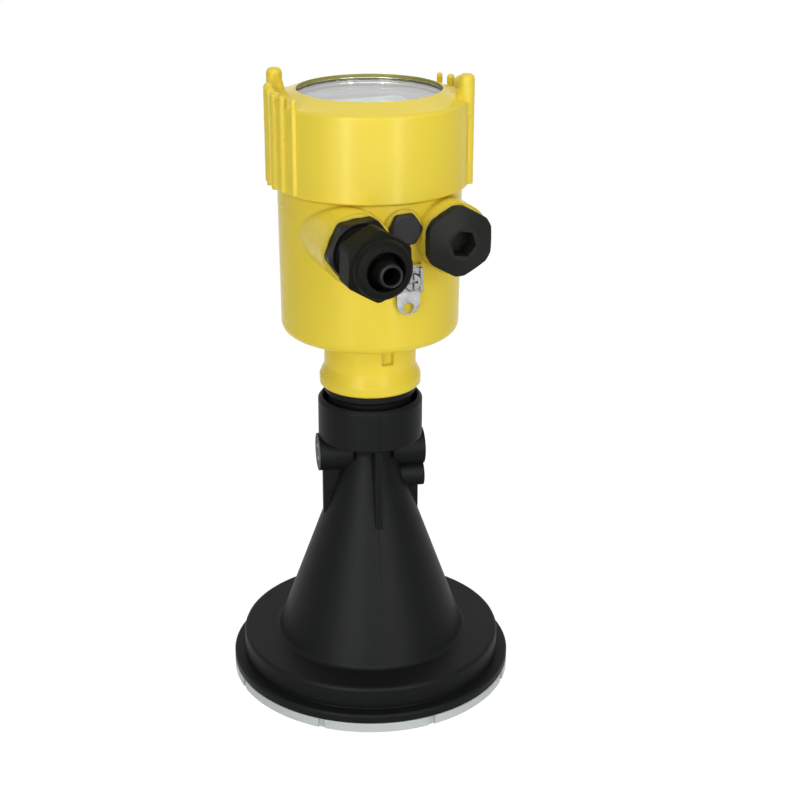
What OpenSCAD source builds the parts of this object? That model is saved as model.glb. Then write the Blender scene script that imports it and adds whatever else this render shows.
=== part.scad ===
// Radar level transmitter: a plastic horn antenna with a lens, a turning cable housing and a screwed lid.
// It stands upright on the lens. z = 0 is the underside of the lens and the front rib of the horn is at -Y.

/* [Antenna] */
// Outside radius of the flange rim and of the lens
flange_r = 57.5; // [50:0.5:65]
// Height of the lens edge below the flange
lens_edge_h = 4.2; // [3:0.1:6]
// Height of the flange rim's upper face
rim_top_z = 7.9; // [6:0.1:12]
// Radius of the raised step on the flange
step_r = 53.1; // [45:0.1:57]
// Height of the step's upper face
step_top_z = 17.4; // [12:0.1:25]
// Radius of the cone where it leaves the step
cone_base_r = 38.6; // [30:0.1:48]
// Loss of cone radius per millimetre of height
cone_slope = 0.3617; // [0.2:0.001:0.6]
// Wall of the antenna moulding
horn_wall = 3.1; // [2:0.1:5]
// Reach of the four upright webs from the axis
web_r = 19.5; // [15:0.1:25]
// Thickness of each web
web_t = 2.8; // [1.5:0.1:5]
// Outside radius of the collar on top of the horn
collar_r = 20.8; // [18:0.1:26]
// Height of the collar's underside
collar_bottom_z = 104.1; // [95:0.1:115]
// Height of the collar's rim
collar_top_z = 121.4; // [115:0.1:130]
// Radius of the two strap bosses
boss_r = 7.6; // [6:0.1:10]
// Height of the strap bosses
boss_z = 97.5; // [90:0.1:102]
// Radius of the single lower boss
low_boss_r = 5.3; // [4.5:0.1:7]
// Height of the lower boss
low_boss_z = 85.8; // [80:0.1:90]
// Distance of the boss end faces from the axis
boss_reach = 21.4; // [20:0.1:26]

/* [Lens] */
// Number of notches in the lens edge
notch_count = 8; // [4:1:12]
// Angle of the first notch
notch_angle = 15; // [0:1:45]
// Height of the lens dome inside the horn
dome_h = 9; // [4:0.5:14]

/* [Neck] */
// Radius of the black ring that carries the housing
ring_r = 18; // [17:0.1:18.4]
// Height of the ring's upper face
ring_top_z = 126.5; // [124:0.1:128]
// Radius of the spigot the housing turns on
spigot_r = 14.5; // [12:0.1:15]
// Running clearance between turning pieces
run_gap = 0.05; // [0.02:0.01:0.1]

/* [Housing] */
// Angle the housing is turned to, about the axis
housing_turn = 10; // [-165:1:165]
// Outside radius of the housing at its foot
housing_r = 34.6; // [30:0.1:40]
// Gain of housing radius up to the shoulder
housing_draft = 0.4; // [0:0.1:1.5]
// Wall of the housing
housing_wall = 3.2; // [2:0.1:5]
// Height of the housing's underside
housing_bottom_z = 149.5; // [145:0.1:155]
// Rounding of the housing's lower edge
housing_round = 4; // [2:0.5:10]
// Height of the shoulder below the lid
shoulder_z = 207.5; // [200:0.1:212]
// Height of the threaded collar inside the lid
thread_top_z = 231; // [222:0.5:234]
// Radius of the threaded collar
thread_r = 33.6; // [30:0.1:36]
// Radius of the neck below the housing
neck_r = 18.1; // [16:0.1:20]
// Radius of the neck's flared foot
neck_foot_r = 20.05; // [18:0.05:22]

/* [Cable entries] */
// Distance of each entry from the housing's middle plane
entry_x = 19; // [15:0.1:22]
// Height of both entries
entry_z = 193.8; // [185:0.1:200]
// Reach of the entry faces beyond the housing wall
entry_reach = 4.8; // [2:0.1:8]
// Radius of the entry bosses
entry_boss_r = 13.3; // [12:0.1:13.6]
// Radius of the entry bores
entry_bore_r = 10; // [8:0.1:11]
// Width across flats of the gland's hexagons
gland_flats = 23; // [19:0.5:25]
// Width across flats of the blind plug
plug_flats = 24.2; // [20:0.1:26]
// Width across flats of the plug's socket
socket_flats = 9; // [6:0.5:12]
// Radius of the hole for the cable
cable_r = 3.2; // [2:0.1:4.5]
// Height of the vent plug
vent_z = 198.7; // [192:0.1:202]
// Width across flats of the vent plug
vent_flats = 11.2; // [8:0.1:11.4]

/* [Ground terminal] */
// Offset of the terminal from the housing's middle plane
ground_x = 1.8; // [-4:0.1:6]
// Height of the terminal screw
ground_z = 179.6; // [175:0.1:184]
// Reach of the terminal pad beyond the housing wall
pad_reach = 1.4; // [1:0.1:3]

/* [Lid] */
// Angle the lid is turned to, about the axis
lid_turn = -21; // [-180:1:180]
// Outside radius of the lid
lid_r = 37.4; // [34:0.1:42]
// Height of the lid's lower edge
lid_bottom_z = 208; // [204:0.1:214]
// Height of the lid's outer top edge
lid_edge_z = 240.1; // [232:0.1:246]
// Height of the window rim
window_rim_z = 243.2; // [236:0.1:250]
// Radius of the window opening
window_r = 27.2; // [22:0.1:30]
// depth of the clear window below the rim round it
window_depth = 1.2; // [0.6:0.1:2]
// Reach of the grip ribs from the axis
rib_r = 39.3; // [37:0.1:44]
// Radius of the tall grip posts
post_r = 3; // [2:0.1:4]
// Radius of the ribs down the lid's side
rib_size = 1.9; // [1.2:0.1:2.6]
// Height of the tall grip posts
post_top_z = 249.6; // [244:0.1:256]
// Height of the first low rib
rib_top_z = 245.6; // [242:0.1:252]
// Fall from one rib top to the next
rib_fall = 0.4; // [0:0.05:1]
// Loss of rib radius from one rib to the next
rib_taper = 0.4; // [0.2:0.05:0.4]
// Angle from the tall post to the first rib
rib_start = 14.5; // [12:0.5:24]
// Angle between ribs
rib_pitch = 10; // [8:0.25:14]
// Ribs that follow each tall post
rib_count = 5; // [1:1:6]

/* [Display] */
// Radius of the display module
display_r = 28.6; // [24:0.1:30]
// Height of the display's front face
display_z = 230; // [224:0.5:232]
// Travel of each display key
key_travel = 0.8; // [0.4:0.1:1.2]

/* [Hidden] */
$fn = 96;
black = [0.10, 0.11, 0.11];
yellow = [0.93, 0.80, 0.24];
pale = [0.80, 0.81, 0.82];
metal = [0.72, 0.73, 0.74];
brass = [0.78, 0.62, 0.30];
seal = [0.14, 0.14, 0.15];
green = [0.20, 0.45, 0.30];
skin = 0.05;
chamfer = 0.6;
step_round = 1.2;
recess_r = step_r - 2.8;
lens_top_z = rim_top_z + 0.3;
flange_cut_z = step_top_z + 2;
head_cut_z = step_top_z + (cone_base_r - web_r) / cone_slope - 2;
throat_z = 97.5;
throat_r = 6.05;
collar_floor_z = collar_bottom_z + 2.9;
collar_in_r = 18.6;
seat_r = 17.3;
seat_top_z = 112;
insert_r = 3.6;
insert_h = 8;
boss_root_x = boss_reach - insert_h - 0.6;
boss_foot_z = boss_z - boss_r - 0.6;
boss_split_z = (boss_z + low_boss_z - insert_r) / 2 + 0.7;
insert_bore_r = 2.1;
spigot_top_z = housing_bottom_z + 6.5;
module_bore_r = 11.3;
module_floor_z = collar_top_z + 2.4;
tube_in_r = 4.6;
oring_z = ring_top_z + 4.5;
pocket_z = ring_top_z + 12.9;
oring_h = 2.2;
floor_z = housing_bottom_z + 4;
neck_cut_z = housing_bottom_z - 0.4;
clip_z = floor_z + 0.3;
housing_in_r = housing_r - housing_wall;
top_in_r = thread_r - 3;
pillar_z = floor_z + 4.5;
can_h = pillar_z - module_floor_z - 10.2;
pillar_r = 3.5;
screw_x = housing_in_r - 10.4;
screw_y = -12;
rest_x = 17;
rest_y = 17;
shank_r = entry_bore_r - 0.08;
shank_y = sqrt(pow(housing_in_r, 2) - pow(entry_x, 2)) + 0.5;
boss_in_y = housing_in_r - 2;
washer_h = 0.6;
entry_face = housing_r + entry_reach;
pad_face = housing_r + pad_reach;
head_y = entry_face + washer_h;
head_h = 6;
plug_h = 6.6;
nut_y = head_y + head_h + 7;
nut_len = 10.4;
gland_tip = nut_y + nut_len + 5.6;
insert_tip = gland_tip + 5;
mouth_r = 6.4;
nut_thread_r = 9.4;
sleeve_r = 8;
vent_face = housing_r + 1.4;
vent_washer = 0.4;
vent_bore_r = 4;
pad_w = 11;
tag_t = 0.8;
tag_w = 9;
clamp_t = 1.5;
clamp_w = 9;
m4_r = 2;
ledge_z = window_rim_z - 2.3;
glass_r = 31;
glass_h = 5;
gasket_h = 0.5;
glass_top_z = ledge_z - gasket_h;
glass_bottom_z = glass_top_z - glass_h;
pane_r = window_r - 0.2;
pane_z = window_rim_z - window_depth;
retainer_h = 2.2;
rib_axis = rib_r - rib_size;
bend_z = lid_edge_z - 0.6;
post_h = post_top_z - bend_z + 5;
foot_lean = 16;
foot_h = 8;
lid_bore_r = thread_r + 0.3;
groove_z = 209;
groove_h = 2.2;
groove_r = lid_bore_r + 1.1;
module_r = housing_in_r - 4.4;
module_top_z = pillar_z + 20;
tower_top_z = display_z - 16.8;
display_bottom_z = tower_top_z + 0.3;
pin_ring_r = 13;
key_r = 3;
block_h = 9;
block_half = screw_x - 5;
block_face = module_r - 4;
clamp_pitch = (2 * block_half - 7) / 5;
key_y = -15;
key_pitch = 9;
screen_w = 34;
screen_h = 19;
screen_y = 6;

function cone_at(z) = cone_base_r + cone_slope * (step_top_z - z);
function hex_r(flats) = flats / sqrt(3);
function rib_girth(i) = i == 0 ? rib_size : min(rib_size, post_r + 0.1 - i * rib_taper);
function rib_tip_z(i) = i == 0 ? bend_z : rib_top_z - (i - 1) * rib_fall - rib_girth(i);
function rib_length(i) = rib_tip_z(i) - lid_bottom_z - 0.8;
function rib_angle(i) = i == 0 ? 0 : rib_start + (i - 1) * rib_pitch;

// Turns a piece into the housing's own direction.
module on_housing() {
    rotate([0, 0, housing_turn]) children();
}

// Lays a piece's +Z along the entry direction, -Y, at a side offset and height.
module facing_out(side, height) {
    translate([side, 0, height]) rotate([90, 0, 0]) children();
}

// A ring between two radii, standing on z = 0.
module ring(outer, inner, height) {
    difference() {
        cylinder(r = outer, h = height);
        translate([0, 0, -1]) cylinder(r = inner, h = height + 2);
    }
}

// A hexagon head with its outer corners turned off.
module hex_head(flats, height, corner_r, bevel) {
    intersection() {
        cylinder(r = hex_r(flats), h = height, $fn = 6);
        union() {
            cylinder(r = corner_r, h = height - bevel);
            translate([0, 0, height - bevel]) cylinder(r1 = corner_r, r2 = corner_r - bevel * 1.6, h = bevel);
        }
    }
}

module horn_body() {
    rotate_extrude() polygon([
        [0, lens_edge_h], [flange_r - 0.4, lens_edge_h], [flange_r, lens_edge_h + 0.4],
        [flange_r, rim_top_z - chamfer], [flange_r - chamfer, rim_top_z], [step_r - 0.6, rim_top_z],
        [step_r - 0.6, rim_top_z + 1.1], [step_r, rim_top_z + 1.1], [step_r, step_top_z - step_round],
        [step_r - step_round * 0.3, step_top_z - step_round * 0.3], [step_r - step_round, step_top_z],
        [cone_base_r + 1, step_top_z],
        [cone_at(step_top_z + 0.5) + 0.25, step_top_z + 0.5], [cone_at(step_top_z + 1.4), step_top_z + 1.4],
        [cone_at(throat_z), throat_z], [cone_at(throat_z), collar_bottom_z],
        [collar_r - chamfer, collar_bottom_z], [collar_r, collar_bottom_z + chamfer],
        [collar_r, collar_top_z - 1.4], [collar_r - 1.1, collar_top_z], [0, collar_top_z]
    ]);
    for (turn = [0:90:270]) rotate([0, 0, turn])
        translate([8, -web_t / 2, cone_at(step_top_z)])
            cube([web_r - 8, web_t, collar_bottom_z + 1 - cone_at(step_top_z)]);
    for (side = [0, 180]) rotate([0, 0, side])
        translate([8, 0, boss_z]) rotate([0, 90, 0]) cylinder(r = boss_r, h = boss_reach - 8);
    translate([8, -1, low_boss_z]) rotate([0, 90, 0]) cylinder(r = low_boss_r, h = boss_reach - 8.1);
}

module horn_hollow() {
    rotate_extrude() polygon([
        [0, lens_edge_h - 1], [recess_r, lens_edge_h - 1], [recess_r, lens_top_z + 0.2],
        [cone_at(lens_top_z) - horn_wall, lens_top_z + 0.2], [cone_at(throat_z) - horn_wall, throat_z],
        [throat_r, throat_z], [throat_r, collar_floor_z], [seat_r, collar_floor_z], [seat_r, seat_top_z],
        [collar_in_r, seat_top_z], [collar_in_r, collar_top_z - 0.8], [collar_in_r + 0.6, collar_top_z],
        [collar_in_r + 0.6, collar_top_z + 1], [0, collar_top_z + 1]
    ]);
    difference() {
        rotate_extrude() polygon([
            [cone_at(lens_top_z) + 0.3, lens_top_z], [recess_r - 0.2, lens_top_z],
            [recess_r - 0.2, step_top_z - horn_wall],
            [cone_at(step_top_z - horn_wall) + 0.3, step_top_z - horn_wall]
        ]);
        for (turn = [0:45:315]) rotate([0, 0, turn])
            translate([cone_base_r - 0.6, -1, lens_top_z + 1]) cube([recess_r - cone_base_r + 1.6, 2, 12]);
    }
}

module strap_bores(r, depth) {
    for (side = [0, 180]) rotate([0, 0, side])
        translate([boss_reach - depth, 0, boss_z]) rotate([0, 90, 0]) cylinder(r = r, h = depth + 1);
    translate([boss_reach - 0.1 - depth, -1, low_boss_z]) rotate([0, 90, 0]) cylinder(r = r, h = depth + 1);
}

// Everything between two heights.
module slab(low, high) {
    translate([-100, -100, low]) cube([200, 200, high - low]);
}

// The block that holds one boss, from its root out to its face.
module boss_block(low, high) {
    translate([boss_root_x, -boss_r - 1, low]) cube([12, 2 * boss_r + 2, high - low]);
}

// The room of all three bosses.
module boss_blocks() {
    boss_block(low_boss_z - low_boss_r - 0.6, collar_bottom_z - 0.3);
    rotate([0, 0, 180]) boss_block(boss_foot_z, collar_bottom_z - 0.3);
}

// The antenna moulding is one piece, given as flange, cone, head and three bosses.
module horn_moulding() {
    difference() {
        horn_body();
        horn_hollow();
        strap_bores(insert_r, insert_h);
    }
}

module horn_flange() {
    color(black) intersection() { horn_moulding(); slab(0, flange_cut_z); }
}

module horn_shell() {
    color(black) difference() {
        intersection() { horn_moulding(); slab(flange_cut_z, head_cut_z); }
        boss_blocks();
    }
}

module horn_head() {
    color(black) difference() {
        intersection() { horn_moulding(); slab(head_cut_z, collar_top_z + 2); }
        boss_blocks();
    }
}

module strap_boss_right() {
    color(black) intersection() { horn_moulding(); boss_block(boss_split_z, collar_bottom_z - 0.3); }
}

module strap_boss_left() {
    color(black) intersection() {
        horn_moulding();
        rotate([0, 0, 180]) boss_block(boss_foot_z, collar_bottom_z - 0.3);
    }
}

module swivel_boss() {
    color(black) intersection() {
        horn_moulding();
        boss_block(low_boss_z - low_boss_r - 0.6, boss_split_z);
    }
}

module horn_lens() {
    color(pale) difference() {
        rotate_extrude() polygon(concat(
            [[0, 0], [flange_r - 0.6, 0], [flange_r, 0.6], [flange_r, lens_edge_h],
             [recess_r - 0.15, lens_edge_h], [recess_r - 0.15, 5.3], [recess_r - 1.4, 5.3],
             [recess_r - 1.4, 7.2], [recess_r - 0.15, 7.2], [recess_r - 0.15, lens_top_z]],
            [for (step = [0:8]) let (a = 90 - step * 11.25)
                [(cone_at(lens_top_z) - horn_wall - 0.6) * sin(a), lens_top_z + dome_h * cos(a)]]
        ));
        for (i = [0:notch_count - 1]) rotate([0, 0, notch_angle + i * 360 / notch_count])
            translate([flange_r - 1.3, -1.4, -1]) cube([4, 2.8, lens_edge_h + 0.9]);
    }
}

module lens_seal() {
    color(seal) translate([0, 0, 5.35]) ring(recess_r - 0.03, recess_r - 1.35, 1.8);
}

module strap_inserts() {
    color(brass) for (item = [[0, 0, boss_z, 0], [180, 0, boss_z, 0], [0, -1, low_boss_z, 0.1]])
        rotate([0, 0, item[0]]) translate([boss_reach - item[3] - insert_h, item[1], item[2]])
            rotate([0, 90, 0]) ring(insert_r, insert_bore_r, insert_h);
}

module waveguide_tube() {
    color(brass) translate([0, 0, throat_z + 0.5])
        ring(throat_r - 0.03, tube_in_r, module_floor_z - throat_z - 0.6);
}

module feed_cone() {
    color([0.93, 0.93, 0.91]) rotate_extrude() polygon([
        [0, throat_z - 15.5], [0.8, throat_z - 15.1], [tube_in_r - 0.05, throat_z + 1.5],
        [tube_in_r - 0.05, module_floor_z - 5.8], [0, module_floor_z - 2.8]
    ]);
}

module neck_ring() {
    color(black) rotate_extrude() polygon([
        [throat_r, collar_floor_z], [seat_r - 0.1, collar_floor_z], [seat_r - 0.1, seat_top_z],
        [seat_r - 0.7, seat_top_z], [seat_r - 0.7, ring_top_z - 4], [ring_r - 0.3, ring_top_z - 3.2],
        [ring_r, ring_top_z - 2.6], [ring_r, ring_top_z - 0.5], [ring_r - 0.5, ring_top_z],
        [spigot_r, ring_top_z], [spigot_r, oring_z], [spigot_r - 1.4, oring_z],
        [spigot_r - 1.4, oring_z + oring_h], [spigot_r, oring_z + oring_h], [spigot_r, clip_z],
        [spigot_r - 0.9, clip_z], [spigot_r - 0.9, clip_z + 1.1], [spigot_r, clip_z + 1.1],
        [spigot_r, spigot_top_z - 0.5], [spigot_r - 0.5, spigot_top_z],
        [module_bore_r, spigot_top_z], [module_bore_r, module_floor_z], [throat_r, module_floor_z]
    ]);
}

module neck_seal() {
    color(seal) translate([0, 0, oring_z + 0.1]) ring(spigot_r, spigot_r - 1.35, oring_h - 0.2);
}

module neck_circlip() {
    color(metal) translate([0, 0, clip_z + 0.02]) difference() {
        ring(17, spigot_r - 0.85, 1.05);
        translate([0, -2.5, -1]) cube([20, 5, 4]);
    }
}

module rf_module() {
    color(metal) {
        translate([0, 0, module_floor_z]) cylinder(r = module_bore_r - 0.1, h = can_h);
        translate([0, 0, module_floor_z + can_h]) cylinder(r = 3.4, h = 3);
        translate([0, 0, module_floor_z + can_h + 3]) cylinder(r = 2.4, h = 3.6);
    }
}

module housing_body() {
    rotate_extrude() polygon(concat(
        [[0, ring_top_z + 0.3], [neck_foot_r - chamfer, ring_top_z + 0.3],
         [neck_foot_r, ring_top_z + 0.3 + chamfer],
         [neck_foot_r, ring_top_z + 4.1], [neck_r, ring_top_z + 8.5], [neck_r, housing_bottom_z]],
        [for (step = [0:6]) let (a = step * 15)
            [housing_r - housing_round * (1 - sin(a)), housing_bottom_z + housing_round * (1 - cos(a))]],
        [[housing_r + housing_draft, shoulder_z - 5], [housing_r + housing_draft, shoulder_z - 0.4],
         [housing_r + housing_draft - 0.4, shoulder_z], [thread_r, shoulder_z],
         [thread_r, thread_top_z - 0.5],
         [thread_r - 0.5, thread_top_z], [0, thread_top_z]]
    ));
    for (side = [-1, 1]) facing_out(side * entry_x, entry_z) {
        cylinder(r = entry_boss_r, h = entry_face - 0.5);
        cylinder(r = entry_boss_r - 0.5, h = entry_face);
    }
    facing_out(0, vent_z) cylinder(r = vent_flats / 2 + 1.4, h = vent_face);
    translate([ground_x - pad_w / 2, -pad_face, ground_z - 6.2]) cube([pad_w, 8, 11.4]);
}

module housing_hollow() {
    rotate_extrude() polygon([
        [0, ring_top_z - 6], [spigot_r + run_gap, ring_top_z - 6], [spigot_r + run_gap, floor_z],
        [housing_in_r - 2, floor_z], [housing_in_r, floor_z + 2.5], [housing_in_r, shoulder_z - 4],
        [top_in_r, shoulder_z], [top_in_r, thread_top_z + 1], [0, thread_top_z + 1]
    ]);
    for (side = [-1, 1]) facing_out(side * entry_x, entry_z) cylinder(r = entry_bore_r, h = entry_face + 1);
    facing_out(0, vent_z) cylinder(r = vent_bore_r, h = vent_face + 1);
    facing_out(ground_x, ground_z) translate([0, 0, boss_in_y - 1]) cylinder(r = m4_r, h = 12);
    // Locking pocket in the front of the neck.
    rotate([0, 0, 2.5]) translate([-2.3, -neck_r - 1, pocket_z])
        cube([4.6, 2.7, housing_bottom_z - 0.8 - pocket_z]);
}

// The housing is one casting, given as its neck and its cup.
module housing_neck() {
    color(yellow) on_housing() intersection() {
        difference() { housing_body(); housing_hollow(); }
        slab(ring_top_z, neck_cut_z);
    }
}

module housing_shell() {
    color(yellow) on_housing() {
        intersection() {
            difference() { housing_body(); housing_hollow(); }
            slab(neck_cut_z, thread_top_z + 1);
        }
        for (side = [-1, 1]) {
            translate([side * screw_x, screw_y, floor_z - 0.5]) ring(pillar_r, 1.5, pillar_z - floor_z + 0.5);
            translate([side * rest_x, rest_y, floor_z - 0.5])
                cylinder(r = pillar_r, h = pillar_z - floor_z + 0.5);
        }
        difference() {
            translate([ground_x - 4.5, -housing_in_r - 0.8, ground_z - 5]) cube([9, 4, 10]);
            facing_out(ground_x, ground_z) translate([0, 0, boss_in_y - 2]) cylinder(r = m4_r, h = 12);
        }
    }
}

module gland_body() {
    color(black) on_housing() facing_out(-entry_x, entry_z) difference() {
        union() {
            translate([0, 0, shank_y]) cylinder(r = shank_r, h = head_y - shank_y);
            translate([0, 0, head_y]) rotate([0, 0, 6])
                hex_head(gland_flats, head_h, gland_flats / 2 + 1.3, 0.8);
            translate([0, 0, head_y + head_h]) cylinder(r = nut_thread_r + 0.5, h = 4);
            translate([0, 0, head_y + head_h + 4])
                cylinder(r = nut_thread_r, h = nut_y + 9 - head_y - head_h - 4);
        }
        translate([0, 0, shank_y - 1]) cylinder(r = 6, h = nut_y - shank_y + 20);
        translate([0, 0, nut_y - 3]) cylinder(r = sleeve_r, h = 20);
    }
}

module gland_body_seal() {
    color(seal) on_housing() facing_out(-entry_x, entry_z)
        translate([0, 0, entry_face + skin])
            ring(entry_boss_r - 1.7, entry_bore_r + 0.05, washer_h - 2 * skin);
}

module gland_insert() {
    color(seal) on_housing() facing_out(-entry_x, entry_z) rotate_extrude() polygon([
        [cable_r, nut_y - 2], [sleeve_r - 0.1, nut_y - 2], [sleeve_r - 0.1, nut_y + 9.5], [4.6, nut_y + 12.6],
        [4.2, insert_tip - 0.5], [3.7, insert_tip], [cable_r, insert_tip]
    ]);
}

module gland_nut() {
    color(black) on_housing() facing_out(-entry_x, entry_z) difference() {
        union() {
            translate([0, 0, nut_y]) rotate([0, 0, 29])
                hex_head(gland_flats, nut_len, gland_flats / 2 + 1.4, 1.2);
            rotate_extrude() polygon([
                [7, nut_y + 5], [10.9, nut_y + 5], [10.9, nut_y + nut_len + 0.2],
                [10.3, nut_y + nut_len + 0.4],
                [10.3, nut_y + nut_len + 1.2], [10.8, nut_y + nut_len + 1.4], [10.7, gland_tip - 2.6],
                [10.1, gland_tip - 1.3], [9.1, gland_tip - 0.4], [8, gland_tip], [7, gland_tip]
            ]);
        }
        rotate_extrude() polygon([
            [0, nut_y - 1], [nut_thread_r + 0.1, nut_y - 1], [nut_thread_r + 0.1, nut_y + 9.6],
            [mouth_r, nut_y + 13], [mouth_r, gland_tip - 0.8], [mouth_r + 0.8, gland_tip],
            [mouth_r + 0.8, gland_tip + 1], [0, gland_tip + 1]
        ]);
    }
}

module blind_plug() {
    color(black) on_housing() facing_out(entry_x, entry_z) difference() {
        union() {
            translate([0, 0, shank_y]) cylinder(r = shank_r, h = head_y - shank_y);
            translate([0, 0, head_y]) rotate([0, 0, 30]) intersection() {
                cylinder(r = hex_r(plug_flats), h = plug_h, $fn = 6);
                rotate_extrude() polygon([
                    [0, 0], [plug_flats / 2 + 0.6, 0], [plug_flats / 2 + 0.9, 0.4],
                    [plug_flats / 2 + 0.9, plug_h - 3], [hex_r(socket_flats) + 0.9, plug_h], [0, plug_h]
                ]);
            }
        }
        translate([0, 0, head_y + plug_h - 8]) rotate([0, 0, 50])
            cylinder(r = hex_r(socket_flats), h = 9, $fn = 6);
    }
}

module blind_plug_seal() {
    color(seal) on_housing() facing_out(entry_x, entry_z)
        translate([0, 0, entry_face + skin])
            ring(entry_boss_r - 1.3, entry_bore_r + 0.05, washer_h - 2 * skin);
}

module vent_plug() {
    color(black) on_housing() facing_out(0, vent_z) {
        translate([0, 0, boss_in_y - 0.4])
            cylinder(r = vent_bore_r - 0.05, h = vent_face + vent_washer - boss_in_y + 0.4);
        translate([0, 0, vent_face + vent_washer]) rotate([0, 0, 3])
            hex_head(vent_flats, 2.8, vent_flats / 2 + 0.75, 0.8);
    }
}

module vent_seal() {
    color(seal) on_housing() facing_out(0, vent_z)
        translate([0, 0, vent_face + skin]) ring(5.2, vent_bore_r + 0.05, vent_washer - 2 * skin);
}

module ground_tag() {
    color(metal) on_housing() difference() {
        facing_out(ground_x, 0) translate([0, 0, pad_face]) {
            linear_extrude(height = tag_t) difference() {
                union() {
                    translate([-tag_w / 2, ground_z - 9.4]) square([tag_w, 14.2]);
                    translate([0, ground_z - 9.2]) circle(r = tag_w / 2);
                }
                translate([0, ground_z - 11.1]) circle(r = 2.1);
                translate([0, ground_z]) circle(r = m4_r + 0.2);
            }
        }
    }
}

module ground_clamp() {
    color(metal) on_housing() facing_out(ground_x, ground_z)
        translate([0, 0, pad_face + tag_t]) difference() {
        union() {
            translate([-clamp_w / 2, -clamp_w / 2, 0.1]) cube([clamp_w, clamp_w, clamp_t]);
            for (x = [-clamp_w / 2, clamp_w / 2 - 1])
                translate([x, -clamp_w / 2, 0.1]) cube([1, clamp_w, clamp_t + 1.1]);
        }
        translate([0, 0, -1]) cylinder(r = m4_r + 0.2, h = 6);
    }
}

module ground_screw() {
    color(metal) on_housing() facing_out(ground_x, ground_z) difference() {
        union() {
            translate([0, 0, boss_in_y])
                cylinder(r = m4_r - run_gap, h = pad_face + tag_t + clamp_t + 0.5 - boss_in_y);
            translate([0, 0, pad_face + tag_t + clamp_t + 0.15]) cylinder(r = 3.5, h = 2.2);
            translate([0, 0, pad_face + tag_t + clamp_t + 2.35]) cylinder(r1 = 3.5, r2 = 3, h = 0.5);
        }
        translate([-0.5, -5, pad_face + tag_t + clamp_t + 1.5]) cube([1, 10, 3]);
        translate([-2, -0.5, pad_face + tag_t + clamp_t + 1.5]) cube([4, 1, 3]);
    }
}

module electronics_module() {
    color(pale) on_housing() difference() {
        translate([0, 0, pillar_z]) cylinder(r = module_r, h = module_top_z - pillar_z);
        for (side = [-1, 1]) translate([side * screw_x, screw_y, pillar_z - 1]) cylinder(r = 1.6, h = 30);
    }
}

// The half-round tower on the module that holds the display's contact track.
module contact_tower() {
    color(pale) on_housing() difference() {
        intersection() {
            translate([0, 0, module_top_z]) cylinder(r = module_r, h = tower_top_z - module_top_z);
            translate([-module_r - 1, 0, module_top_z - 1])
                cube([2 * module_r + 2, module_r + 1, tower_top_z - module_top_z + 2]);
        }
        translate([0, 0, tower_top_z - 9]) ring(module_r - 5, module_r - 8, 12);
        translate([-8, 6, tower_top_z - 1.2]) cube([16, 4, 3]);
    }
}

module electronics_screws() {
    color(metal) on_housing() for (side = [-1, 1])
        translate([side * screw_x, screw_y, floor_z + 0.2]) difference() {
        union() {
            cylinder(r = 1.45, h = module_top_z - floor_z);
            translate([0, 0, module_top_z - floor_z - 0.15]) cylinder(r = 2.7, h = 2);
        }
        translate([-3, -0.4, module_top_z - floor_z + 1]) cube([6, 0.8, 2]);
    }
}

module terminal_block() {
    color(green) on_housing() difference() {
        translate([-block_half, -block_face, module_top_z]) cube([2 * block_half, block_face - 4, block_h]);
        for (i = [0:5]) translate([3.5 - block_half + i * clamp_pitch, 0, module_top_z]) {
            translate([0, 8 - block_face, block_h - 5]) rotate([90, 0, 0]) cylinder(r = 1.5, h = 9);
            translate([-1.5, 9 - block_face, block_h - 2.5]) cube([3, 6, 4]);
        }
    }
}

module contact_pins() {
    color(brass) on_housing() for (i = [0:3]) rotate([0, 0, 60 + i * 20])
        translate([pin_ring_r, 0, tower_top_z]) cylinder(r = 0.8, h = 1.2);
}

module display_module() {
    color(seal) on_housing() difference() {
        union() {
            translate([0, 0, display_bottom_z]) cylinder(r = display_r - 1, h = 3);
            translate([0, 0, display_bottom_z + 3])
                cylinder(r = display_r, h = display_z - display_bottom_z - 4);
            translate([0, 0, display_z - 1]) cylinder(r1 = display_r, r2 = display_r - 1, h = 1);
        }
        translate([0, 0, display_bottom_z - 1]) ring(pin_ring_r + 3, pin_ring_r - 3, 2.8);
        translate([-screen_w / 2, screen_y - screen_h / 2, display_z - 1]) cube([screen_w, screen_h, 2]);
        for (i = [0:3]) translate([(i - 1.5) * key_pitch, key_y, display_z - 4])
            cylinder(r = key_r + 0.1, h = 5);
        for (turn = [35, 145, 215, 325]) rotate([0, 0, turn]) translate([display_r + 1, 0, display_z - 6])
            cylinder(r = 3, h = 8);
    }
}

module display_screen() {
    color([0.55, 0.62, 0.55]) on_housing()
        translate([-screen_w / 2 + 0.1, screen_y - screen_h / 2 + 0.1, display_z - 1])
            cube([screen_w - 0.2, screen_h - 0.2, 1.2]);
}

module display_key(i) {
    color(pale) on_housing() translate([(i - 1.5) * key_pitch, key_y, display_z - 4 + key_travel + 0.1]) {
        cylinder(r = key_r, h = 3.9);
        translate([0, 0, 3.9]) cylinder(r1 = key_r, r2 = key_r - 0.4, h = 0.4);
    }
}

module display_key_1() { display_key(0); }
module display_key_2() { display_key(1); }
module display_key_3() { display_key(2); }
module display_key_4() { display_key(3); }

// One rib down the side of the lid. It runs on above the edge as a round-topped peg.
module grip_rib(i) {
    rotate([0, 0, rib_angle(i)]) translate([rib_axis, 0, lid_bottom_z + 0.8]) {
        cylinder(r = rib_girth(i), h = rib_length(i));
        translate([0, 0, rib_length(i)]) sphere(r = rib_girth(i), $fn = 48);
    }
}

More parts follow.
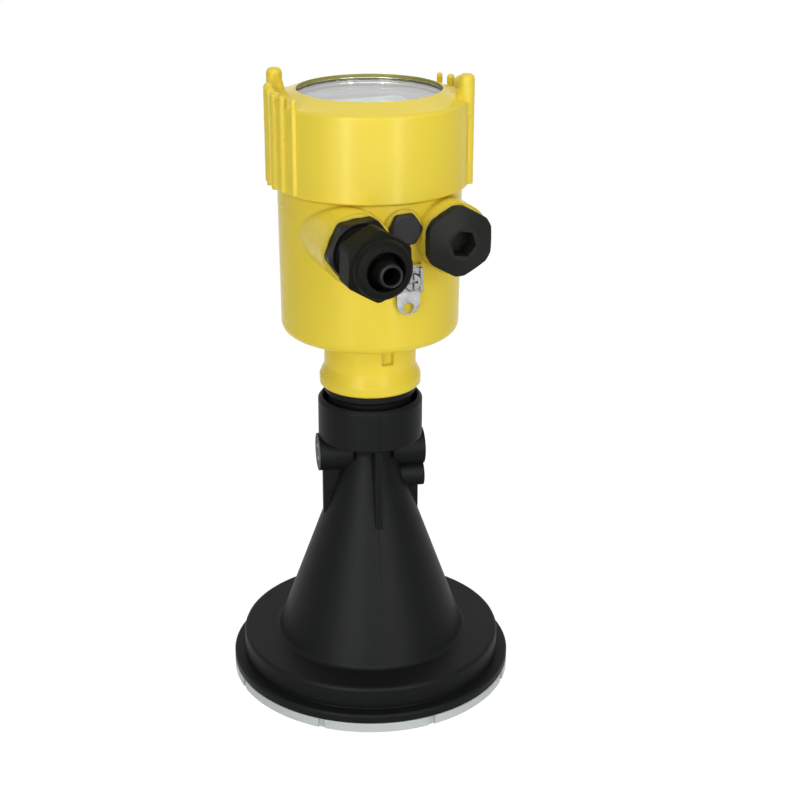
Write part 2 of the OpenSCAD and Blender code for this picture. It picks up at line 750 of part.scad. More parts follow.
// A tall post with a softly rounded end and a sloping foot on its inner side.
module grip_post() {
    translate([rib_r - post_r, 0, bend_z - 5]) rotate_extrude() polygon([
        [0, 0], [post_r, 0], [post_r, post_h - 1.9], [post_r - 0.25, post_h - 1.1],
        [post_r - 0.75, post_h - 0.5], [post_r - 1.4, post_h - 0.13], [post_r - 2.1, post_h], [0, post_h]
    ]);
    translate([rib_r - post_r - 2.2, 0, bend_z - 1.5])
        rotate([0, foot_lean, 0]) cylinder(r = post_r - 0.3, h = foot_h);
}

module lid_shell() {
    color(yellow) rotate([0, 0, lid_turn]) difference() {
        union() {
            rotate_extrude() polygon([
                [0, lid_bottom_z], [lid_r - 0.4, lid_bottom_z], [lid_r, lid_bottom_z + 0.4],
                [lid_r, lid_edge_z - 1.2], [lid_r - 0.3, lid_edge_z - 0.5], [lid_r - 1, lid_edge_z],
                [window_r + 0.5, window_rim_z], [0, window_rim_z]
            ]);
            for (half = [0, 180]) rotate([0, 0, half]) {
                grip_post();
                for (i = [0:rib_count]) grip_rib(i);
            }
        }
        rotate_extrude() polygon([
            [0, lid_bottom_z - 1], [lid_bore_r + 0.5, lid_bottom_z - 1], [lid_bore_r + 0.5, lid_bottom_z],
            [lid_bore_r, lid_bottom_z + 0.5], [lid_bore_r, groove_z], [groove_r, groove_z],
            [groove_r, groove_z + groove_h], [lid_bore_r, groove_z + groove_h],
            [lid_bore_r, thread_top_z + 1],
            [glass_r + 0.2, thread_top_z + 1.8], [glass_r + 0.2, ledge_z], [window_r, ledge_z],
            [window_r, window_rim_z - 0.4], [window_r + 0.3, window_rim_z + 1], [0, window_rim_z + 1]
        ]);
        translate([0, 0, thread_top_z]) ring(lid_bore_r + 1, glass_r + 1.7, 7.4);
    }
}

module window_seal() {
    color(seal) translate([0, 0, glass_top_z + skin])
        ring(glass_r + 0.1, window_r + 1.4, gasket_h - 2 * skin);
}

module lid_window() {
    color([0.78, 0.82, 0.84, 0.4]) rotate_extrude() polygon([
        [0, glass_bottom_z], [glass_r, glass_bottom_z], [glass_r, glass_top_z],
        [pane_r, glass_top_z], [pane_r, pane_z], [0, pane_z]
    ]);
}

module window_retainer() {
    color(metal) translate([0, 0, glass_bottom_z - retainer_h])
        ring(glass_r + 0.17, window_r + 1.3, retainer_h);
}

module lid_seal() {
    color(seal) translate([0, 0, groove_z + 0.1]) ring(groove_r - 0.05, thread_r + 0.05, groove_h - 0.2);
}

horn_flange();
horn_shell();
horn_head();
strap_boss_right();
strap_boss_left();
swivel_boss();
horn_lens();
lens_seal();
strap_inserts();
waveguide_tube();
feed_cone();
neck_ring();
neck_seal();
neck_circlip();
rf_module();
housing_neck();
housing_shell();
gland_body();
gland_body_seal();
gland_insert();
gland_nut();
blind_plug();
blind_plug_seal();
vent_plug();
vent_seal();
ground_tag();
ground_clamp();
ground_screw();
electronics_module();
contact_tower();
electronics_screws();
terminal_block();
contact_pins();
display_module();
display_screen();
display_key_1();
display_key_2();
display_key_3();
display_key_4();
lid_shell();
window_seal();
lid_window();
window_retainer();
lid_seal();
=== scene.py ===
import math

import bmesh
import bpy
from mathutils import Matrix, Vector


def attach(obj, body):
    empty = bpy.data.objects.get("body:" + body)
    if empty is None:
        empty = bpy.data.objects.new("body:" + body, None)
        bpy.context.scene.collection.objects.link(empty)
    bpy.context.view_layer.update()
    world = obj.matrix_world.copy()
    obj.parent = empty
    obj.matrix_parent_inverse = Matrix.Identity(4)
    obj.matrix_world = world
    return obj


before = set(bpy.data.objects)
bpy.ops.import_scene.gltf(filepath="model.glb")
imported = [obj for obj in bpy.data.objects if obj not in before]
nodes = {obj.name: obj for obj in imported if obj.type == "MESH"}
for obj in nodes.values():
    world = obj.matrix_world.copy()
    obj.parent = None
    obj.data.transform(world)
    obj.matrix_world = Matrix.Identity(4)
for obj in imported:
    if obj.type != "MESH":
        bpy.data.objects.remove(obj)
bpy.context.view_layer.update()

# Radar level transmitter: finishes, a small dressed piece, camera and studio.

MM = 0.001
HOUSING_TURN = math.radians(10)
ENTRY_OFFSET = 19 * MM
ENTRY_HEIGHT = 193.8 * MM
GROUND_OFFSET = 1.8 * MM
GROUND_HEIGHT = 179.6 * MM
PARTING_LOW = 24 * MM
PARTING_DEPTH = 9.0
WHITE = (1, 1, 1, 1)


def shade(red, green, blue):
    """A paint chip from 0 to 255, turned into the linear values that shaders use."""
    linear = []
    for value in (red, green, blue):
        value /= 255
        linear.append(value / 12.92 if value <= 0.04045 else ((value + 0.055) / 1.055) ** 2.4)
    return (*linear, 1.0)


def scaled(colour, factor):
    """A colour made darker or lighter by a factor, at most 1."""
    return tuple(min(1, part * factor) for part in colour[:3]) + (1.0,)


# ---------------------------------------------------------------- shader tools

def fill(tree, made, inputs):
    """Sets each input to a plain value, or joins it to a socket."""
    for key, value in (inputs or {}).items():
        if isinstance(value, bpy.types.NodeSocket):
            tree.links.new(value, made.inputs[key])
        else:
            made.inputs[key].default_value = value
    return made


def add(tree, kind, inputs=None, **settings):
    """One shader node with its settings and inputs."""
    made = tree.nodes.new("ShaderNode" + kind)
    for name, value in settings.items():
        setattr(made, name, value)
    return fill(tree, made, inputs)


def place(tree, made_effect, inputs=None):
    """An effect set into a material with its own values."""
    made = tree.nodes.new("ShaderNodeGroup")
    made.node_tree = made_effect
    return fill(tree, made, inputs).outputs


def sum_of(tree, operation, first, second=0.0, clamp=False):
    return add(tree, "Math", {0: first, 1: second}, operation=operation,
               use_clamp=clamp).outputs[0]


def spread(tree, value, low, high, to_low, to_high):
    return add(tree, "MapRange", {"Value": value, "From Min": low, "From Max": high,
                                  "To Min": to_low, "To Max": to_high}).outputs[0]


def noise(tree, where, scale, detail, **more):
    return add(tree, "TexNoise", {"Vector": where, "Scale": scale, "Detail": detail,
                                  **more}).outputs["Fac"]


def where_on(tree):
    return add(tree, "TexCoord").outputs["Object"]


def split(tree, vector):
    return add(tree, "SeparateXYZ", {0: vector}).outputs


def distance_from_axis(tree, parts):
    flat = add(tree, "CombineXYZ", {0: parts[0], 1: parts[1]}).outputs[0]
    return add(tree, "VectorMath", {0: flat}, operation="LENGTH").outputs["Value"]


def between(tree, value, low, high, blur):
    """1 from low to high, falling to 0 over the blur outside them."""
    below_zero = sum_of(tree, "MULTIPLY", blur, -1.0)
    sides = []
    for inside in (sum_of(tree, "SUBTRACT", value, low), sum_of(tree, "SUBTRACT", high, value)):
        sides.append(add(tree, "MapRange", {"Value": inside, "From Min": below_zero,
                                            "From Max": 0.0}).outputs[0])
    return sum_of(tree, "MULTIPLY", *sides)


def effect(name, inputs, outputs):
    """A new shader effect with named inputs and outputs: (tree, entries, exit node)."""
    tree = bpy.data.node_groups.new(name, "ShaderNodeTree")
    kinds = {"number": "NodeSocketFloat", "colour": "NodeSocketColor",
             "vector": "NodeSocketVector"}
    for label, kind, value in inputs:
        socket = tree.interface.new_socket(label, in_out="INPUT", socket_type=kinds[kind])
        if value is not None:
            socket.default_value = value
    for label, kind in outputs:
        tree.interface.new_socket(label, in_out="OUTPUT", socket_type=kinds[kind])
    entry = tree.nodes.new("NodeGroupInput").outputs
    return tree, entry, tree.nodes.new("NodeGroupOutput")


# ---------------------------------------------------------------- shared effects

def make_moulded_skin():
    """Slow changes of tone and gloss, and a fine grain in the height."""
    tree, entry, out = effect(
        "Moulded skin",
        [("Colour", "colour", WHITE), ("Tone spread", "number", 0.05),
         ("Grain size", "number", 900.0), ("Grain depth", "number", 1.0),
         ("Roughness", "number", 0.4), ("Roughness spread", "number", 0.08)],
        [("Colour", "colour"), ("Roughness", "number"), ("Height", "number")])
    where = where_on(tree)
    cloud = noise(tree, where, 42.0, 3.0)
    flow = noise(tree, where, 160.0, 4.0)
    grain = noise(tree, where, entry["Grain size"], 2.0, Roughness=0.6)
    tone = sum_of(tree, "MULTIPLY", sum_of(tree, "SUBTRACT", cloud, 0.5), entry["Tone spread"])
    tint = add(tree, "HueSaturation", {"Color": entry["Colour"],
                                       "Value": sum_of(tree, "ADD", tone, 1.0)})
    change = sum_of(tree, "MULTIPLY", sum_of(tree, "SUBTRACT", flow, 0.5),
                    entry["Roughness spread"])
    fill(tree, out, {"Colour": tint.outputs["Color"],
                     "Roughness": sum_of(tree, "ADD", change, entry["Roughness"], clamp=True),
                     "Height": sum_of(tree, "MULTIPLY", grain, entry["Grain depth"])})
    return tree


def make_eased_edge():
    """Rounded edges, and where they are rubbed; a seam of 1 keeps the plain surface there."""
    tree, entry, out = effect(
        "Eased edge",
        [("Radius", "number", 0.4 * MM), ("Wear", "number", 0.3), ("Seam", "number", 0.0)],
        [("Normal", "vector"), ("Worn", "number")])
    rounded = add(tree, "Bevel", {"Radius": entry["Radius"]}, samples=6).outputs["Normal"]
    plain = add(tree, "NewGeometry").outputs["Normal"]
    blend = add(tree, "Mix", {0: entry["Seam"], 4: rounded, 5: plain}, data_type="VECTOR")
    eased = add(tree, "VectorMath", {0: blend.outputs[1]}, operation="NORMALIZE").outputs[0]
    same = add(tree, "VectorMath", {0: eased, 1: plain},
               operation="DOT_PRODUCT").outputs["Value"]
    edge = spread(tree, same, 0.98, 0.8, 0.0, 1.0)
    patch = noise(tree, where_on(tree), 300.0, 4.0)
    worn = sum_of(tree, "MULTIPLY", edge, spread(tree, patch, 0.35, 0.65, 0.0, 1.0))
    fill(tree, out, {"Normal": eased, "Worn": sum_of(tree, "MULTIPLY", worn, entry["Wear"])})
    return tree


def make_moulding_seam():
    """1 near a level where one moulding is given as two solids, so that no edge shows."""
    tree, entry, out = effect(
        "Moulding seam",
        [("Level", "number", 0.0), ("Root", "number", 1.0), ("Reach", "number", 1 * MM)],
        [("Seam", "number")])
    parts = split(tree, where_on(tree))
    off_level = sum_of(tree, "ABSOLUTE", sum_of(tree, "SUBTRACT", parts[2], entry["Level"]))
    side = sum_of(tree, "ABSOLUTE", parts[0])
    off_root = sum_of(tree, "ABSOLUTE", sum_of(tree, "SUBTRACT", side, entry["Root"]))
    nearest = sum_of(tree, "MINIMUM", off_level, off_root)
    share = sum_of(tree, "DIVIDE", nearest, entry["Reach"])
    fill(tree, out, {"Seam": spread(tree, share, 0.75, 1.15, 1.0, 0.0)})
    return tree


def make_thread_ridges():
    """A screw thread round the +Z axis of a position, kept to a sleeve of set ends and radii."""
    tree, entry, out = effect(
        "Thread ridges",
        [("Position", "vector", None), ("Pitch", "number", 1.5 * MM), ("Start", "number", 0.0),
         ("End", "number", 10 * MM), ("Inner", "number", 0.0), ("Outer", "number", 10 * MM)],
        [("Height", "number")])
    end_blur, side_blur = 0.4 * MM, 0.05 * MM
    parts = split(tree, entry["Position"])
    turn = sum_of(tree, "DIVIDE", sum_of(tree, "ARCTAN2", parts[1], parts[0]), 2 * math.pi)
    along = sum_of(tree, "DIVIDE", parts[2], entry["Pitch"])
    phase = sum_of(tree, "FRACT", sum_of(tree, "SUBTRACT", along, turn))
    ridge = sum_of(tree, "PINGPONG", sum_of(tree, "MULTIPLY", phase, 2.0), 1.0)
    radius = distance_from_axis(tree, parts)
    sleeve = sum_of(tree, "MULTIPLY",
                    between(tree, parts[2], entry["Start"], entry["End"], end_blur),
                    between(tree, radius, entry["Inner"], entry["Outer"], side_blur))
    fill(tree, out, {"Height": sum_of(tree, "MULTIPLY", ridge, sleeve)})
    return tree


def make_painted_inside():
    """1 inside a radius between two levels, where a grey is painted for the shade and reflection
    seen there through the window, and 1 within the lip radius, where a painted shade goes.
    """
    tree, entry, out = effect(
        "Painted inside",
        [("Radius", "number", 10 * MM), ("Floor", "number", 0.0), ("Level", "number", 100 * MM),
         ("Shaded lip", "number", 0.0)],
        [("Painted grey", "number"), ("Shaded lip", "number")])
    parts = split(tree, where_on(tree))
    radius = distance_from_axis(tree, parts)
    near = sum_of(tree, "LESS_THAN", radius, entry["Radius"])
    below = sum_of(tree, "LESS_THAN", parts[2], entry["Level"])
    above = sum_of(tree, "GREATER_THAN", parts[2], entry["Floor"])
    painted_grey = sum_of(tree, "MULTIPLY", near, sum_of(tree, "MULTIPLY", above, below))
    fill(tree, out, {"Painted grey": painted_grey, "Shaded lip": sum_of(tree, "LESS_THAN", radius, entry["Shaded lip"])})
    return tree


def make_parting_line():
    """A thin wavering line where two mould halves met, front and back, fading in upwards."""
    tree, entry, out = effect(
        "Parting line",
        [("Width", "number", 0.25 * MM), ("Wander", "number", 0.3 * MM), ("Low", "number", 0.0)],
        [("Line", "number")])
    full_after = 45 * MM
    where = where_on(tree)
    parts = split(tree, where)
    waver = noise(tree, where, 130.0, 2.0)
    drift = sum_of(tree, "MULTIPLY", sum_of(tree, "SUBTRACT", waver, 0.5), entry["Wander"])
    off = sum_of(tree, "ABSOLUTE", sum_of(tree, "SUBTRACT", parts[0], drift))
    share = sum_of(tree, "DIVIDE", off, entry["Width"])
    line = sum_of(tree, "SUBTRACT", 1.0, share, clamp=True)
    height = sum_of(tree, "SUBTRACT", parts[2], entry["Low"])
    strong = spread(tree, height, 0.0, full_after, 0.0, 1.0)
    fill(tree, out, {"Line": sum_of(tree, "MULTIPLY", line, strong)})
    return tree


def make_drawn_metal():
    """Streaks along the height, and tarnish that dulls the metal in patches."""
    tree, entry, out = effect(
        "Drawn metal",
        [("Colour", "colour", (0.7, 0.7, 0.7, 1)), ("Roughness", "number", 0.3),
         ("Streak size", "number", 2500.0)],
        [("Colour", "colour"), ("Roughness", "number"), ("Height", "number")])
    where = where_on(tree)
    stretched = add(tree, "Mapping", {"Vector": where, "Scale": (1.0, 1.0, 0.06)}).outputs[0]
    streaks = noise(tree, stretched, entry["Streak size"], 3.0)
    stain = noise(tree, where, 210.0, 5.0)
    tint = add(tree, "HueSaturation", {"Color": entry["Colour"],
                                       "Value": spread(tree, stain, 0.35, 0.7, 1.0, 0.72)})
    rough = sum_of(tree, "ADD", entry["Roughness"], spread(tree, stain, 0.4, 0.7, -0.06, 0.12),
                   clamp=True)
    fill(tree, out, {"Colour": tint.outputs["Color"], "Roughness": rough, "Height": streaks})
    return tree


moulded_skin = make_moulded_skin()
eased_edge = make_eased_edge()
moulding_seam = make_moulding_seam()
thread_ridges = make_thread_ridges()
painted_inside = make_painted_inside()
parting_line = make_parting_line()
drawn_metal = make_drawn_metal()


# ---------------------------------------------------------------- materials

def blank_material(name):
    made = bpy.data.materials.new(name)
    made.use_nodes = True
    tree = made.node_tree
    tree.nodes.clear()
    surface = tree.nodes.new("ShaderNodeBsdfPrincipled")
    output = tree.nodes.new("ShaderNodeOutputMaterial")
    tree.links.new(surface.outputs[0], output.inputs[0])
    return made, tree, surface, output


def toned(tree, colour, share, other):
    """A colour mixed towards another one by a share that changes over the surface."""
    return add(tree, "Mix", {0: share, 6: colour, 7: other}, data_type="RGBA").outputs[2]


def with_thread(tree, height, lift, pitch, start, end, inner, outer, rise,
                centre=(0, 0, 0), turn=(0, 0, 0)):
    """Height with a screw thread added, its ridges a set rise above their roots."""
    there = add(tree, "Mapping", {"Vector": where_on(tree), "Location": centre,
                                  "Rotation": turn}, vector_type="TEXTURE").outputs[0]
    ridges = place(tree, thread_ridges, {"Position": there, "Pitch": pitch, "Start": start,
                                         "End": end, "Inner": inner, "Outer": outer})
    return sum_of(tree, "ADD", height, sum_of(tree, "MULTIPLY", ridges["Height"], rise / lift))


def finish_surface(tree, surface, tint, roughness, height, lift, strength, normal):
    bump = add(tree, "Bump", {"Strength": strength, "Distance": lift, "Height": height,
                              "Normal": normal})
    fill(tree, surface, {"Base Color": tint, "Roughness": roughness,
                         "Normal": bump.outputs[0]})


def plastic(name, colour, worn_colour, roughness, grain=1400.0, depth=1.0, edge=0.4 * MM,
            wear=0.25, tone=0.06, specular=0.5, parting=None, threads=(), lift=0.02 * MM,
            seams=(), root=1.0, inside=None):
    """A moulded plastic or a coating: skin grain, eased edges, and what else it has."""
    made, tree, surface, _ = blank_material(name)
    skin = place(tree, moulded_skin, {"Colour": colour, "Tone spread": tone,
                                      "Grain size": grain, "Grain depth": depth,
                                      "Roughness": roughness})
    seam = 0.0
    for level in seams:
        near = place(tree, moulding_seam, {"Level": level, "Root": root, "Reach": edge})["Seam"]
        seam = sum_of(tree, "MAXIMUM", near, seam)
    edges = place(tree, eased_edge, {"Radius": edge, "Wear": wear, "Seam": seam})
    tint = toned(tree, skin["Colour"], edges["Worn"], worn_colour)
    height = skin["Height"]
    if parting:
        line = place(tree, parting_line, {"Width": parting, "Low": PARTING_LOW})["Line"]
        height = sum_of(tree, "SUBTRACT", height, sum_of(tree, "MULTIPLY", line, PARTING_DEPTH))
        shadowed = sum_of(tree, "MULTIPLY", line, 0.8)
        tint = toned(tree, tint, shadowed, scaled(colour, 0.4))
    for thread in threads:
        height = with_thread(tree, height, lift, **thread)
    # Painted shade and reflection: the inside turns grey, and the window's lip a shaded olive.
    if inside:
        painted_grey = place(tree, painted_inside, inside)
        tint = toned(tree, tint, painted_grey["Painted grey"], inside_painted_grey)
        tint = toned(tree, tint, painted_grey["Shaded lip"], lip_painted_shade)
    finish_surface(tree, surface, tint, skin["Roughness"], height, lift, 0.7, edges["Normal"])
    surface.inputs["Specular IOR Level"].default_value = specular
    return made


def metal(name, colour, roughness, streak=2500.0, edge=0.15 * MM, lift=0.01 * MM, threads=()):
    """A bare metal with drawing streaks and a little tarnish."""
    made, tree, surface, _ = blank_material(name)
    drawn = place(tree, drawn_metal, {"Colour": colour, "Roughness": roughness,
                                      "Streak size": streak})
    edges = place(tree, eased_edge, {"Radius": edge, "Wear": 0.5})
    height = drawn["Height"]
    for thread in threads:
        height = with_thread(tree, height, lift, **thread)
    tint = toned(tree, drawn["Colour"], edges["Worn"], scaled(colour, 1.3))
    finish_surface(tree, surface, tint, drawn["Roughness"], height, lift, 0.6, edges["Normal"])
    surface.inputs["Metallic"].default_value = 1.0
    return made


def clear_glass(name, tint):
    """Window glass that lets lamps through to what lies behind it."""
    made, tree, surface, output = blank_material(name)
    fill(tree, surface, {"Base Color": tint, "Roughness": 0.0, "IOR": 1.5,
                         "Transmission Weight": 1.0})
    wave = noise(tree, where_on(tree), 60.0, 2.0)
    bump = add(tree, "Bump", {"Strength": 0.05, "Distance": 0.05 * MM, "Height": wave})
    tree.links.new(bump.outputs[0], surface.inputs["Normal"])
    through = add(tree, "BsdfTransparent", {0: tint})
    lamp_ray = add(tree, "LightPath").outputs["Is Shadow Ray"]
    mix = add(tree, "MixShader", {0: lamp_ray, 1: surface.outputs[0], 2: through.outputs[0]})
    tree.links.new(mix.outputs[0], output.inputs[0])
    return made


def outward_axis(offset, height):
    """Centre and turn of a frame whose +Z runs out of the housing's front at a place on it."""
    turned = Matrix.Rotation(HOUSING_TURN, 3, "Z")
    centre = turned @ Vector((offset, 0, height))
    turn = (turned @ Matrix.Rotation(math.radians(90), 3, "X")).to_euler()
    return {"centre": tuple(centre), "turn": tuple(turn)}


# ---------------------------------------------------------------- finishes

yellow = shade(231, 207, 66)
yellow_worn = shade(238, 220, 112)
black = shade(19, 21, 20)
black_worn = shade(52, 54, 53)
# Painted shade and reflection: a grey for the insides seen through the window.
inside_painted_grey = shade(138, 143, 146)
# Painted shade: the yellow of the window's lip as it looks in shadow.
lip_painted_shade = shade(146, 140, 70)

gland_axis = outward_axis(-ENTRY_OFFSET, ENTRY_HEIGHT)
plug_axis = outward_axis(ENTRY_OFFSET, ENTRY_HEIGHT)
ground_axis = outward_axis(GROUND_OFFSET, GROUND_HEIGHT)

lid_thread = {"pitch": 3 * MM, "start": 211 * MM, "end": 230.2 * MM, "rise": 0.5 * MM}
lid_bore_thread = {**lid_thread, "inner": 33.6 * MM, "outer": 34.2 * MM}
collar_thread = {**lid_thread, "inner": 33.3 * MM, "outer": 33.8 * MM}
entry_thread = {"pitch": 1.5 * MM, "start": 24 * MM, "end": 39.2 * MM,
                "inner": 9.6 * MM, "outer": 10.05 * MM, "rise": 0.35 * MM}
nut_thread = {"pitch": 1.5 * MM, "start": 46.3 * MM, "end": 60 * MM,
              "inner": 9.1 * MM, "outer": 9.6 * MM, "rise": 0.35 * MM}
screw_thread = {"pitch": 0.7 * MM, "start": 28 * MM, "end": 37 * MM,
                "inner": 1.8 * MM, "outer": 2.1 * MM, "rise": 0.2 * MM}

neck_seam = (149.1 * MM,)
horn_seams = (19.4 * MM, 68.2 * MM, 79.9 * MM, 89.3 * MM, 90.55 * MM, 103.8 * MM)

# The lid's and housing's insides get a painted grey for shade and reflection, and the lid's
# window lip a painted shade.
lid_yellow = plastic(
    "Lid yellow", yellow, yellow_worn, 0.22, grain=1500, depth=0.15, edge=0.7 * MM, wear=0.2,
    specular=0.15, threads=[lid_bore_thread],
    inside={"Radius": 34.6 * MM, "Level": 239.2 * MM, "Shaded lip": 27.3 * MM})
housing_yellow = plastic(
    "Housing yellow", yellow, yellow_worn, 0.26, grain=1500, depth=0.15, edge=1.6 * MM,
    wear=0.05, specular=0.1, seams=neck_seam, threads=[collar_thread],
    inside={"Radius": 32.2 * MM, "Floor": 152.5 * MM, "Level": 232 * MM})
horn_black = plastic(
    "Horn black", black, black_worn, 0.46, grain=1100, edge=0.8 * MM, wear=0.15,
    specular=0.06, parting=0.22 * MM, root=12.8 * MM, seams=horn_seams)
collar_black = plastic(
    "Neck ring black", black, black_worn, 0.45, grain=1300, depth=0.6, specular=0.06)
gland_black = plastic(
    "Gland black", shade(25, 26, 22), black_worn, 0.42, grain=1600, depth=0.3,
    edge=0.45 * MM, wear=0.2, specular=0.02)
gland_body_black = plastic(
    "Gland body black", shade(15, 16, 15), black_worn, 0.34, grain=1600, depth=0.4,
    wear=0.2, specular=0.08, threads=[{**nut_thread, **gland_axis},
                                      {**entry_thread, **gland_axis}])
insert_rubber = plastic(
    "Insert rubber", shade(15, 16, 14), shade(30, 31, 30), 0.36, grain=1800, depth=0.3,
    edge=0.3 * MM, wear=0.2, specular=0.12)
plug_black = plastic(
    "Plug black", shade(28, 29, 26), black_worn, 0.5, grain=1600, depth=0.5,
    edge=0.5 * MM, specular=0.08, threads=[{**entry_thread, **plug_axis}])
vent_black = plastic(
    "Vent black", shade(41, 42, 41), black_worn, 0.5, grain=1600, depth=0.5, specular=0.1)
seal_rubber = plastic(
    "Seal rubber", shade(24, 24, 25), shade(50, 50, 50), 0.62, grain=2400, depth=0.9,
    edge=0.2 * MM, specular=0.2)
lens_pale = plastic(
    "Lens pale", shade(186, 191, 190), shade(214, 218, 217), 0.45, grain=900, depth=0.8,
    edge=0.5 * MM, wear=0.3)
feed_white = plastic(
    "Feed white", shade(226, 226, 221), shade(238, 238, 236), 0.45, grain=1500, depth=0.5)
module_grey = plastic(
    "Module grey", shade(140, 143, 148), shade(180, 182, 185), 0.48, grain=1500, depth=0.9)
terminal_green = plastic(
    "Terminal green", shade(52, 128, 84), shade(96, 160, 120), 0.42, grain=1800, depth=0.7,
    edge=0.25 * MM)
display_black = plastic(
    "Display black", shade(34, 35, 37), shade(76, 77, 80), 0.45, grain=1500)
key_grey = plastic(
    "Key grey", shade(160, 163, 166), shade(196, 198, 200), 0.5, grain=2200, depth=0.9,
    edge=0.3 * MM)
screen_grey = plastic(
    "Screen grey", shade(142, 158, 140), shade(164, 178, 162), 0.14, grain=2600, depth=0.15,
    edge=0.1 * MM)
bright_steel = metal("Bright steel", (0.34, 0.34, 0.35, 1), 0.2)
dark_steel = metal("Dark steel", (0.08, 0.08, 0.085, 1), 0.42)
screw_steel = metal("Screw steel", (0.2, 0.2, 0.205, 1), 0.3,
                    threads=[{**screw_thread, **ground_axis}])
insert_brass = metal("Insert brass", (0.66, 0.48, 0.22, 1), 0.32)
window_clear = clear_glass("Window glass", (0.90, 0.93, 0.94, 1))

finishes = (
    (lid_yellow, "lid_shell"),
    (housing_yellow, "housing_shell housing_neck"),
    (horn_black, "horn_flange horn_shell horn_head"),
    (horn_black, "strap_boss_right strap_boss_left swivel_boss"),
    (collar_black, "neck_ring"),
    (lens_pale, "horn_lens"),
    (seal_rubber, "lens_seal neck_seal lid_seal window_seal"),
    (seal_rubber, "gland_body_seal blind_plug_seal vent_seal"),
    (gland_black, "gland_nut"),
    (gland_body_black, "gland_body"),
    (insert_rubber, "gland_insert"),
    (plug_black, "blind_plug"),
    (vent_black, "vent_plug"),
    (bright_steel, "ground_tag neck_circlip rf_module electronics_screws window_retainer"),
    (screw_steel, "ground_clamp ground_screw"),
    (dark_steel, "strap_inserts"),
    (insert_brass, "waveguide_tube contact_pins"),
    (feed_white, "feed_cone"),
    (module_grey, "electronics_module contact_tower"),
    (terminal_green, "terminal_block"),
    (display_black, "display_module"),
    (screen_grey, "display_screen"),
    (key_grey, "display_key_1 display_key_2 display_key_3 display_key_4"),
    (window_clear, "lid_window"),
)
for finish, names in finishes:
    for name in names.split():
        nodes[name].data.materials.clear()
        nodes[name].data.materials.append(finish)


# ---------------------------------------------------------------- small piece made here

def loop_of_faces(shape, rings):
    """Faces between each ring of corners and the next, and from the last to the first."""
    for first, second in zip(rings, rings[1:] + rings[:1]):
        for i in range(len(first)):
            j = (i + 1) % len(first)
            shape.faces.new((first[i], first[j], second[j], second[i]))


def make_screen_bezel():
    """A low frame with round corners round the display's screen."""
    half_wide, half_high, corner, rim = 18.3 * MM, 10.8 * MM, 1.6 * MM, 1.1 * MM
    low, high, ease = 229.8 * MM, 230.55 * MM, 0.2 * MM
    corner_steps = 6
    middle = Vector((0, 6 * MM, 0))
    turned = Matrix.Rotation(HOUSING_TURN, 4, "Z")
    shape = bmesh.new()

    def outline(wide, tall, round_by, z):
        ring = []
        for quarter, (sx, sy) in enumerate(((1, 1), (-1, 1), (-1, -1), (1, -1))):
            for step in range(corner_steps + 1):
                a = math.radians(90 * (quarter + step / corner_steps))
                at = Vector((sx * (wide - round_by) + round_by * math.cos(a),
                             sy * (tall - round_by) + round_by * math.sin(a), z))
                ring.append(shape.verts.new(turned @ (at + middle)))
        return ring

    inner_wide, inner_high = half_wide - rim, half_high - rim
    inner_corner = corner - rim + 0.3 * MM
    loop_of_faces(shape, [
        outline(half_wide, half_high, corner, low),
        outline(half_wide, half_high, corner, high - ease),
        outline(half_wide - ease, half_high - ease, corner - ease, high),
        outline(inner_wide + ease, inner_high + ease, inner_corner + ease, high),
        outline(inner_wide, inner_high, inner_corner, high - ease),
        outline(inner_wide, inner_high, inner_corner, low)])
    bmesh.ops.recalc_face_normals(shape, faces=shape.faces)
    mesh = bpy.data.meshes.new("screen_bezel")
    shape.to_mesh(mesh)
    shape.free()
    mesh.materials.append(key_grey)
    piece = bpy.data.objects.new("screen_bezel", mesh)
    bpy.context.scene.collection.objects.link(piece)
    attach(piece, "display")


make_screen_bezel()


# ---------------------------------------------------------------- studio

CAMERA_PLACE = (-0.10283, -0.58319, 0.35691)
CAMERA_TURN = math.radians(-10)
CAMERA_TILT = math.radians(90) - 0.38404
CAMERA_ROLL = -0.00258
FLOOR_REACH = 4
FLOOR_GLOW = 1.12
FLOOR_GLOW_SHARE = 0.86
SOFT_LIGHT = 0.2


def make_camera():
    data = bpy.data.cameras.new("Camera")
    camera = bpy.data.objects.new("Camera", data)
    bpy.context.scene.collection.objects.link(camera)
    data.sensor_width = 36
    data.lens = 71.88
    data.shift_x = 0.0373
    data.shift_y = 0.0022
    data.clip_end = 20
    look = (Matrix.Rotation(CAMERA_TURN, 4, "Z") @ Matrix.Rotation(CAMERA_TILT, 4, "X")
            @ Matrix.Rotation(CAMERA_ROLL, 4, "Z"))
    camera.matrix_world = Matrix.Translation(CAMERA_PLACE) @ look
    bpy.context.scene.camera = camera


def looked_at(tree):
    """1 for what is looked at straight, in a gloss or through glass, and 0 for other light."""
    path = add(tree, "LightPath").outputs
    bounced = sum_of(tree, "MAXIMUM", path["Is Transmission Ray"], path["Is Glossy Ray"])
    return sum_of(tree, "MAXIMUM", path["Is Camera Ray"], bounced)


def make_floor():
    """A pale floor that shows white to the camera and keeps the object's shadow."""
    r = FLOOR_REACH
    mesh = bpy.data.meshes.new("Floor")
    mesh.from_pydata([(-r, -r, 0), (r, -r, 0), (r, r, 0), (-r, r, 0)], [], [(0, 1, 2, 3)])
    floor = bpy.data.objects.new("Floor", mesh)
    bpy.context.scene.collection.objects.link(floor)
    made, tree, surface, output = blank_material("Floor white")
    fill(tree, surface, {"Base Color": (0.92, 0.92, 0.92, 1), "Roughness": 0.9,
                         "Specular IOR Level": 0.1})
    glow = add(tree, "Emission", {"Color": WHITE, "Strength": FLOOR_GLOW})
    share = sum_of(tree, "MULTIPLY", looked_at(tree), FLOOR_GLOW_SHARE)
    mix = add(tree, "MixShader", {0: share, 1: surface.outputs[0], 2: glow.outputs[0]})
    tree.links.new(mix.outputs[0], output.inputs[0])
    mesh.materials.append(made)


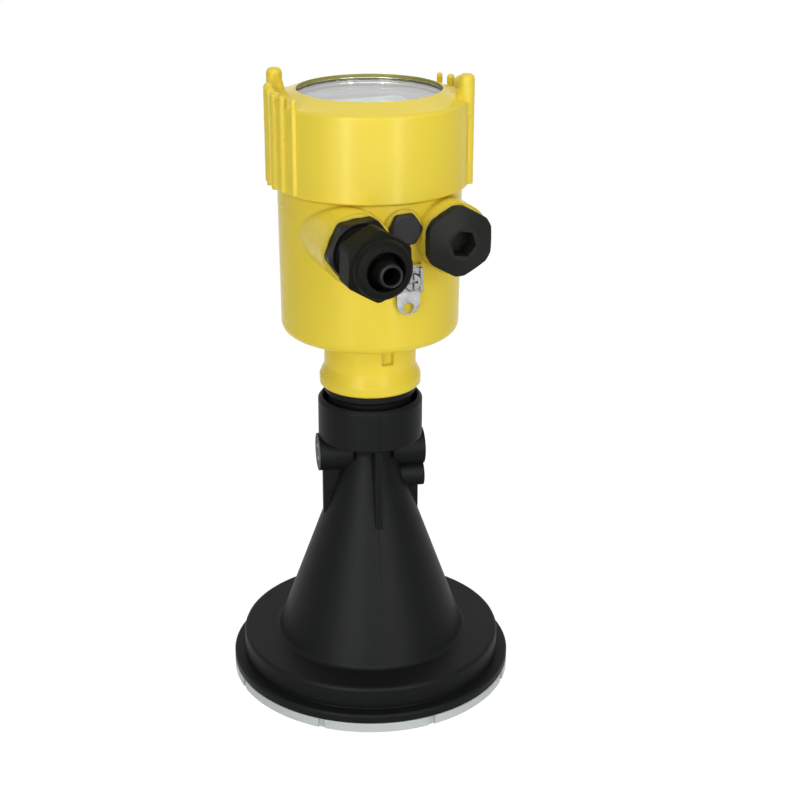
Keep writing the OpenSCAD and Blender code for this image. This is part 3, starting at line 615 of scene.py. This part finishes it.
def make_world():
    world = bpy.data.worlds.new("Studio")
    bpy.context.scene.world = world
    world.use_nodes = True
    tree = world.node_tree
    tree.nodes.clear()
    soft = add(tree, "Background", {"Color": (0.95, 0.97, 1.0, 1), "Strength": SOFT_LIGHT})
    white = add(tree, "Background", {"Color": WHITE, "Strength": 1.0})
    mix = add(tree, "MixShader", {0: looked_at(tree), 1: soft.outputs[0], 2: white.outputs[0]})
    output = tree.nodes.new("ShaderNodeOutputWorld")
    tree.links.new(mix.outputs[0], output.inputs[0])


def make_softbox(name, azimuth, elevation, distance, width, height, power,
                 aim=(0, 0, 0.15), gloss_only=False):
    """A soft panel light that looks at the aim point from a direction round the object."""
    data = bpy.data.lights.new(name, "AREA")
    data.shape = "RECTANGLE"
    data.size = width
    data.size_y = height
    data.energy = power
    lamp = bpy.data.objects.new(name, data)
    lamp.visible_camera = False
    lamp.visible_diffuse = not gloss_only
    bpy.context.scene.collection.objects.link(lamp)
    a, e = math.radians(azimuth), math.radians(elevation)
    out = Vector((math.sin(a) * math.cos(e), -math.cos(a) * math.cos(e), math.sin(e)))
    lamp.location = Vector(aim) + out * distance
    lamp.rotation_euler = out.to_track_quat("Z", "Y").to_euler()


def make_gloss_strip(name, azimuth, distance, width, power):
    """An upright panel that shows only as bright bands in the glossy finishes."""
    make_softbox(name, azimuth, 0, distance, width, 0.9, power, (0, 0, 0.45), gloss_only=True)


bpy.context.scene.view_settings.view_transform = "Standard"
make_camera()
make_floor()
make_world()
make_softbox("Left panel", -36, 12, 1.1, 0.4, 1.1, 5.1)
make_softbox("Right panel", 28, 12, 1.1, 0.4, 1.1, 5.7)
make_softbox("Top panel", -10, 80, 1.2, 0.6, 0.6, 4.75)
make_softbox("Back panel", 170, 55, 1.4, 0.9, 0.9, 2.5)
make_gloss_strip("Left strip", -35, 0.45, 0.07, 1.3)
make_gloss_strip("Right strip", 20, 0.45, 0.07, 1.3)
make_gloss_strip("Front panel", -22, 0.55, 0.8, 7.0)
